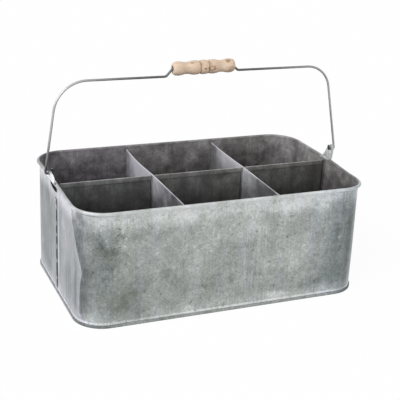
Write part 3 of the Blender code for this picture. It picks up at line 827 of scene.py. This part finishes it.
# Bail: one bent wire
bail = {
    "wire": 1.5 * mm, "sides": 16,
    "armOut": {-1: 203.0 * mm, 1: 203.5 * mm},
    "hookOut": 194.5 * mm, "hookRise": 6 * mm,
    "smallBend": 2.4 * mm,
    "lean": {-1: math.radians(8.2), 1: math.radians(11.6)},
    "rise": 115.5 * mm,
    "gripAside": 1.0 * mm,  # how far the grip sits to the right
    "jogAt": -0.5 * mm,  # where the wire turns down, inside the mouth of the grip
    "jogRun": {-1: 8.8 * mm, 1: 7.0 * mm}, "jogBend": 4.5 * mm,
    "shoulder": {-1: 42 * mm, 1: 35 * mm},
    "handBent": {-1: -1.8 * mm, 1: 2.3 * mm},  # how far each side of the crossbar stands off level
}
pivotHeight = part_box("bail_wire")[0].z + bail["wire"]
gripLow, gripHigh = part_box("grip")
gripAxis = (gripLow.z + gripHigh.z) / 2
halfGrip = gripHigh.x


def bailCorners(side):
    # from the middle of the grip to the hook's tip, as (x, z, bend radius)
    bar = pivotHeight + bail["rise"] + bail["handBent"][side]
    jog = halfGrip + side * bail["gripAside"] + bail["jogAt"]
    arm = bail["armOut"][side]
    top = arm - (bar - pivotHeight) * math.tan(bail["lean"][side])
    corners = [
        (jog, gripAxis, bail["smallBend"]),
        (jog + bail["jogRun"][side], bar, bail["jogBend"]),
        (top, bar, bail["shoulder"][side]),
        (arm, pivotHeight, bail["smallBend"]),
        (bail["hookOut"], pivotHeight, bail["smallBend"]),
        (bail["hookOut"], pivotHeight + bail["hookRise"], 0.0),
    ]
    return [(side * x, z, radius) for x, z, radius in corners]


def bendWire(name, corners, radius, sides):
    # a round of wire, extruded along the straights and spun round the bends, in the plane y = 0
    onlyThis(None)
    spots = [Vector((x, 0, z)) for x, z, bend in corners]
    heading = (spots[1] - spots[0]).to_track_quat("Z", "X").to_euler()
    bpy.ops.mesh.primitive_circle_add(vertices=sides, radius=radius, fill_type="NGON",
                                      location=spots[0], rotation=heading)
    piece = added(name)
    edit(piece)
    pickAll("FACE")
    here = spots[0]
    for index in range(1, len(spots)):
        corner, bend = spots[index], corners[index][2]
        if not bend:
            push(corner - here)
            break
        back, ahead = (here - corner).normalized(), (spots[index + 1] - corner).normalized()
        half = back.angle(ahead) / 2
        start = corner + back * bend / math.tan(half)
        push(start - here)
        centre = corner + (back + ahead).normalized() * bend / math.sin(half)
        axis = back.cross(ahead).normalized()
        swing = 2 * quarter - 2 * half
        steps = max(5, round(math.degrees(swing) / 6))
        bpy.ops.mesh.spin(steps=steps, angle=swing, center=centre, axis=axis)
        here = corner + ahead * bend / math.tan(half)
    weld(piece)
    return piece


# the wire is brighter away from the grip, painted light where the arms face the key light, and dark at the
# hooks
wireMarks = [((-205, 0, 225), (150, 300, 300), 0.62), ((205, 0, 225), (150, 300, 300), 0.50),
             ((-203, 0, 172), (14, 20, 44), -0.4), ((-203, 0, 163), (8, 10, 12), -0.5),
             ((-194.5, 0, 163), (5, 6, 8), -0.9), ((194.5, 0, 163), (5, 6, 8), -0.9)]


def makeBail():
    corners = bailCorners(1)[::-1] + bailCorners(-1)
    piece = bendWire("bail_bent_wire", corners, bail["wire"], bail["sides"])
    smoothed(piece, 40)
    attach(piece, "bail")
    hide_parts("bail_wire")
    paint(piece, zincFinish("zinc_wire", (0.2, 0.9, 0.1), wireTones, (), wireMarks))
    return piece


bailPiece = makeBail()
print("bail:", len(bailPiece.data.polygons), "faces")

# Turned grip
grip = {
    "bead": 9.0 * mm,
    "grooveAt": 5.8 * mm, "groove": 7.3 * mm,
    "bulgeAt": 12.5 * mm, "bulge": 9.0 * mm,
    "waistAt": 23.5 * mm, "waist": 7.4 * mm,
    "knobBack": 7.5 * mm, "knob": 8.9 * mm,
    "end": 5.8 * mm, "bore": 1.8 * mm,
    "mouth": 2.9 * mm, "mouthDepth": 3.0 * mm,
    "mouthEdge": 0.6 * mm, "mouthSlope": 0.2 * mm,
    "steps": 12, "turns": 72,
    "tilt": math.radians(0.9),  # it hangs a little askew on the wire
}


def dome(low, high, share):
    return low + (high - low) * math.sqrt(max(0.0, 1 - share * share))


def swell(low, high, share):
    return low + (high - low) * (1 - math.cos(math.pi * share)) / 2


def gripProfile():
    # half of the turning, from the middle out, as (distance, radius)
    knobAt = halfGrip - grip["knobBack"]
    shares = [step / grip["steps"] for step in range(grip["steps"] + 1)]
    crowded = [math.sin(share * quarter) for share in shares]
    bulgeAt, waistAt = grip["bulgeAt"], grip["waistAt"]

    def stretch(start, end, curve, low, high, places):
        return [(start + (end - start) * share, curve(grip[low], grip[high], share)) for share in places]

    profile = stretch(0.0, grip["grooveAt"], dome, "groove", "bead", crowded)
    profile += stretch(bulgeAt, grip["grooveAt"], dome, "groove", "bulge", crowded[-2::-1])
    profile += stretch(bulgeAt, waistAt, swell, "bulge", "waist", shares[1:])
    profile += stretch(waistAt, knobAt, swell, "waist", "knob", shares[1:])
    profile += stretch(knobAt, halfGrip, dome, "end", "knob", crowded[1:])
    return profile + [(halfGrip, grip["mouth"] + grip["mouthEdge"]),
                      (halfGrip - grip["mouthSlope"], grip["mouth"]),
                      (halfGrip - grip["mouthDepth"], grip["bore"])]


def makeGrip():
    half = gripProfile()
    outline = [(-x, radius) for x, radius in half[:0:-1]] + half
    axis = Vector((bail["gripAside"], 0, gripAxis))
    piece = drawChain("grip_turned", [axis + Vector((x, 0, radius)) for x, radius in outline], True)
    turn(axis, (1, 0, 0), 4 * quarter, grip["turns"])
    weld(piece)
    edit(piece)
    bpy.ops.mesh.select_all(action="SELECT")
    bpy.ops.transform.rotate(value=grip["tilt"], orient_axis="Y", center_override=axis)
    bpy.ops.object.mode_set(mode="OBJECT")
    smoothed(piece, 50)
    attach(piece, "grip")
    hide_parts("grip")
    return piece


wood = {
    "pale": (0.720, 0.566, 0.432), "mid": (0.630, 0.462, 0.338),
    "grey": (0.400, 0.320, 0.255), "brown": (0.310, 0.180, 0.100),
    "boreShade": (0.035, 0.022, 0.016), "roughness": 0.60,
    # noise in the wood, as (scale, detail, roughness, twist)
    "fibre": (1100, 3, 0.6), "rings": (330, 4, 0.6, 0.5),
    "figure": (75, 4, 0.6, 1.0), "knotOut": 8.6,
    # brown knots: distance along the grip, turn above level, reach, how brown, how pale within
    "knots": [(9.8, -2, (6.6, 5, 4.2), 1.0, 0.75), (0.8, -5, (2.6, 5, 2.0), 0.9, 0.0),
              (32.5, 57, (4.2, 3.4, 3.4), 0.85, 0.0), (-16, 58, (3.8, 2.8, 2.8), 0.55, 0.0),
              (37.0, -15, (6.0, 6, 6.0), 0.35, 0.0), (-4.0, 40, (2.4, 5, 5.0), 0.5, 0.0),
              (8.2, 40, (2.6, 5, 5.0), 0.5, 0.0), (-30, 200, (5, 4, 3), 0.7, 0.6)],
}


def woodFinish(name):
    # pale turned wood: grain along the grip, a ringed knot, brown patches and dark in the grooves, with
    # painted shade in the mouths of the bore and on the underside
    material, shade, shader, spot = newFinish(name)
    fibre = spot.stretched((0.04, 1, 1)).noise(*wood["fibre"])
    rings = spot.stretched((0.10, 1, 1)).noise(*wood["rings"])
    figure = spot.stretched((0.5, 1, 1)).noise(*wood["figure"])
    level = 0.62 + (rings - 0.5) * 1.3 + (fibre - 0.5) * 0.8 + (figure - 0.5) * 1.0
    stops = [(0.0, wood["grey"]), (0.35, wood["mid"]), (0.85, wood["pale"])]
    colour = shade.node("ValToRGB", {"stops": stops}, {0: level})
    uneven = spot.ragged(230, 3.5 * mm)
    for place, turned, reach, amount, hollow in wood["knots"]:
        angle = math.radians(turned)
        out = wood["knotOut"]
        centre = (place, -out * math.cos(angle), gripAxis / mm + out * math.sin(angle))
        near = uneven.softPatch(centre, reach)
        ring = near.fade(0.0, 0.35) - near.fade(0.40, 0.90) * hollow
        colour = (ring * amount).blend(colour, wood["brown"])
    # painted shade in the mouth of the bore at each end
    for side in (-1, 1):
        end = (side * halfGrip + bail["gripAside"]) / mm - side * 0.6
        mouth = spot.softPatch((end, 0, gripAxis / mm), (3.0, 3.9, 3.9))
        colour = mouth.fade(0.0, 0.3).blend(colour, wood["boreShade"])
    middleX = (spot.axis("X") - bail["gripAside"]).absolute()
    groove = (middleX - grip["grooveAt"]).absolute().fade(1.2 * mm, 0.3 * mm)
    colour = (groove * 0.70).blend(colour, wood["brown"])
    # painted shade: greyer on the underside
    under = spot.axis("Z").fade(gripAxis - 3.5 * mm, gripAxis - 8.5 * mm)
    colour = (under * 0.60).blend(colour, wood["grey"])
    height = rings * 0.6 + fibre * 0.5
    normal = shade.node("Bump", None, {"Strength": 0.25, "Distance": 0.2 * mm, "Height": height})
    shade.feed(shader, {"Base Color": colour, "Roughness": wood["roughness"], "Normal": normal})
    return material


gripPiece = makeGrip()
paint(gripPiece, woodFinish("turned_pale_wood"))
print("grip:", len(gripPiece.data.polygons), "faces")

# Ears, rolled round the rim wire
ear = {
    "sheet": 0.9 * mm, "halfWidth": 11 * mm,
    "shoulder": 3.5 * mm, "head": 8 * mm,
    "hole": 2.1 * mm,
    "twist": {-1: math.radians(18), 1: 0.0},  # the left one is bent to face the front
    "holeRise": 12.6 * mm,
    "lean": math.radians(19),
    "wrap": math.radians(285), "wrapSteps": 24,
    "headSteps": 20, "holeSides": 32,
    "rowPitch": 3 * mm,
    "margin": 2 * mm,  # how far the blank and the cutting tools reach past the outline
    "drillDepth": 8 * mm, "twistRun": (2 * mm, 11 * mm),
    "edge": 0.18 * mm, "edgeAngle": math.radians(50),
}


def makeEar(side, label):
    root = Vector((side * (halfLength + curlInner), 0, rimTop - curlOuter))
    up = Vector((side * math.sin(ear["lean"]), 0, math.cos(ear["lean"])))
    out = Vector((side * math.cos(ear["lean"]), 0, -math.sin(ear["lean"])))
    across = Vector((0, 1, 0))
    bend = curlInner + ear["sheet"] / 2
    stem = root + out * bend
    tall = ear["holeRise"] + ear["head"] + ear["margin"]
    section = [stem + up * height for height in spread(tall, 0.0, ear["rowPitch"])[:-1]]
    wrap = arcOf((0, 0), bend, 0.0, ear["wrap"], ear["wrapSteps"])
    section += [root + out * cosine - up * sine for cosine, sine in wrap]
    start = across * (ear["halfWidth"] + mm)
    piece = drawChain("ear_tab_" + label, [point + start for point in section])
    pull(start * -2)
    weld(piece)
    applyModifier(piece, "SOLIDIFY", thickness=ear["sheet"], offset=0.0, use_even_offset=True)

    half, below = ear["halfWidth"], bend + ear["margin"]
    corner = Vector((half, ear["shoulder"] - ear["holeRise"]))
    touch = math.atan2(corner.y, corner.x) + math.acos(ear["head"] / corner.length)
    outline = [(-half, ear["shoulder"]), (-half, -below), (half, -below), (half, ear["shoulder"])]
    outline += arcOf((0.0, ear["holeRise"]), ear["head"], touch, 2 * quarter - touch, ear["headSteps"])
    points = [root - out * below + across * y + up * height for y, height in outline]
    cutWith(piece, prism("ear_outline", points, out * 2 * below), "INTERSECT")

    onlyThis(None)
    bpy.ops.mesh.primitive_cylinder_add(vertices=ear["holeSides"], radius=ear["hole"],
                                        depth=ear["drillDepth"], rotation=(0, quarter, 0),
                                        location=stem + up * ear["holeRise"])
    cutWith(piece, bpy.context.object, "DIFFERENCE")
    applyModifier(piece, "BEVEL", width=ear["edge"], segments=2, limit_method="ANGLE",
                  angle_limit=ear["edgeAngle"])
    for vertex in piece.data.vertices:
        height = (vertex.co - stem).dot(up)
        swing = Matrix.Rotation(ear["twist"][side] * ease(height, *ear["twistRun"]), 3, up)
        vertex.co = stem + swing @ (vertex.co - stem)
    smoothed(piece)
    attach(piece, "crate")
    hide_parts("ear_" + label)
    return piece


earTones = dict(zincTones, level=0.58, clouds=0.7, blotches=0.9, speckle=0.5, light=(0.385, 0.395, 0.390),
                wearAndHighlight=(0.860, 0.870, 0.860))
del earTones["endTint"], earTones["flank"]
# the left ear is darker on top and has a painted highlight below
earMarks = [((-200, 0, 169), (9, 14, 8), -1.1), ((-196, 0, 155), (12, 15, 11), 1.2)]
earFinish = zincFinish("zinc_ear", (0.45, 0.3, 0.8), earTones, (), earMarks)
for side, label in ((-1, "left"), (1, "right")):
    paint(makeEar(side, label), earFinish)
print("ears ready")


def makeRimWire():
    # the wire in the rolled rim, bent with it
    centre = (curlInner, rimTop - curlOuter)
    section = arcOf(centre, crate["rimWire"], 0.0, 4 * quarter, crate["rimWireSides"])
    piece = carryRound("rim_wire_rolled_in", section[:-1], True)
    weld(piece)
    settle(piece)
    smoothed(piece)
    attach(piece, "crate")
    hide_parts("rim_wire")
    paint(piece, earFinish)
    return piece


rimWire = makeRimWire()
print("rim wire:", len(rimWire.data.polygons), "faces")

# Stage: floor, light and camera
stage = {
    "floorSize": 14.0, "floorDrop": 0.1 * mm,
    "floorColour": (0.95, 0.95, 0.95),
    "floorLift": 0.96,  # share of the floor that shows as plain white
    "worldLevel": 0.42,
    "key": {"from": (-0.80, -0.30, 0.62), "power": 2.3, "softness": math.radians(45)},
    "fill": {"from": (0.30, -0.90, 0.40), "power": 0.5, "softness": math.radians(80)},
}
camera = {
    "place": (-455.7 * mm, -1062.7 * mm, 538.4 * mm),
    "pan": math.radians(23.440), "tilt": math.radians(20.530),
    "roll": math.radians(2.725),
    "lens": 83.82,
    "sensor": 36, "clipEnd": 50,
}


def seenWhite(shade):
    # 1 for the rays that show the background: camera, glossy and transmission rays
    names = ("Is Camera Ray", "Is Glossy Ray", "Is Transmission Ray")
    rays = [shade.node("LightPath", None, None, name) for name in names]
    return (rays[0] + rays[1] + rays[2]).fade(0.0, 1.0)


def makeStage():
    onlyThis(None)
    bpy.ops.mesh.primitive_plane_add(size=stage["floorSize"], location=(0, 0, -stage["floorDrop"]))
    floor = added("studio_floor")
    material = bpy.data.materials.new("studio_floor_white")
    material.use_nodes = True
    tree = material.node_tree
    tree.nodes.clear()
    shade = Shade(tree)
    matt = shade.node("BsdfDiffuse", None, {"Color": (*stage["floorColour"], 1.0)})
    white = shade.node("Emission", None, {"Color": (1, 1, 1, 1), "Strength": 1.0})
    both = shade.node("MixShader", None, {0: seenWhite(shade) * stage["floorLift"], 1: matt, 2: white})
    output = tree.nodes.new("ShaderNodeOutputMaterial")
    shade.feed(output, {"Surface": both})
    floor.data.materials.append(material)

    world = bpy.data.worlds.new("studio")
    bpy.context.scene.world = world
    world.use_nodes = True
    shade = Shade(world.node_tree)
    level = stage["worldLevel"] + seenWhite(shade) * (1 - stage["worldLevel"])
    shade.feed(world.node_tree.nodes["Background"], {"Color": (1, 1, 1, 1), "Strength": level})


def addSun(name, lamp):
    # a broad, even light from one side
    onlyThis(None)
    turned = (-Vector(lamp["from"])).to_track_quat("-Z", "Y").to_euler()
    bpy.ops.object.light_add(type="SUN", location=Vector(lamp["from"]) * 2, rotation=turned)
    sun = bpy.context.object
    sun.name = name
    sun.data.energy = lamp["power"]
    sun.data.angle = lamp["softness"]


def makeCamera():
    onlyThis(None)
    turned = Matrix.Rotation(-camera["pan"], 3, "Z") @ Matrix.Rotation(quarter - camera["tilt"], 3, "X")
    turned = turned @ Matrix.Rotation(camera["roll"], 3, "Z")
    bpy.ops.object.camera_add(location=camera["place"], rotation=turned.to_euler())
    maker = bpy.context.object
    maker.data.lens = camera["lens"]
    maker.data.sensor_width = camera["sensor"]
    maker.data.clip_end = camera["clipEnd"]
    bpy.context.scene.camera = maker


makeStage()
addSun("key_left", stage["key"])
addSun("fill_front", stage["fill"])
makeCamera()
bpy.context.scene.view_settings.view_transform = "Standard"
onlyThis(None)
print("stage ready")
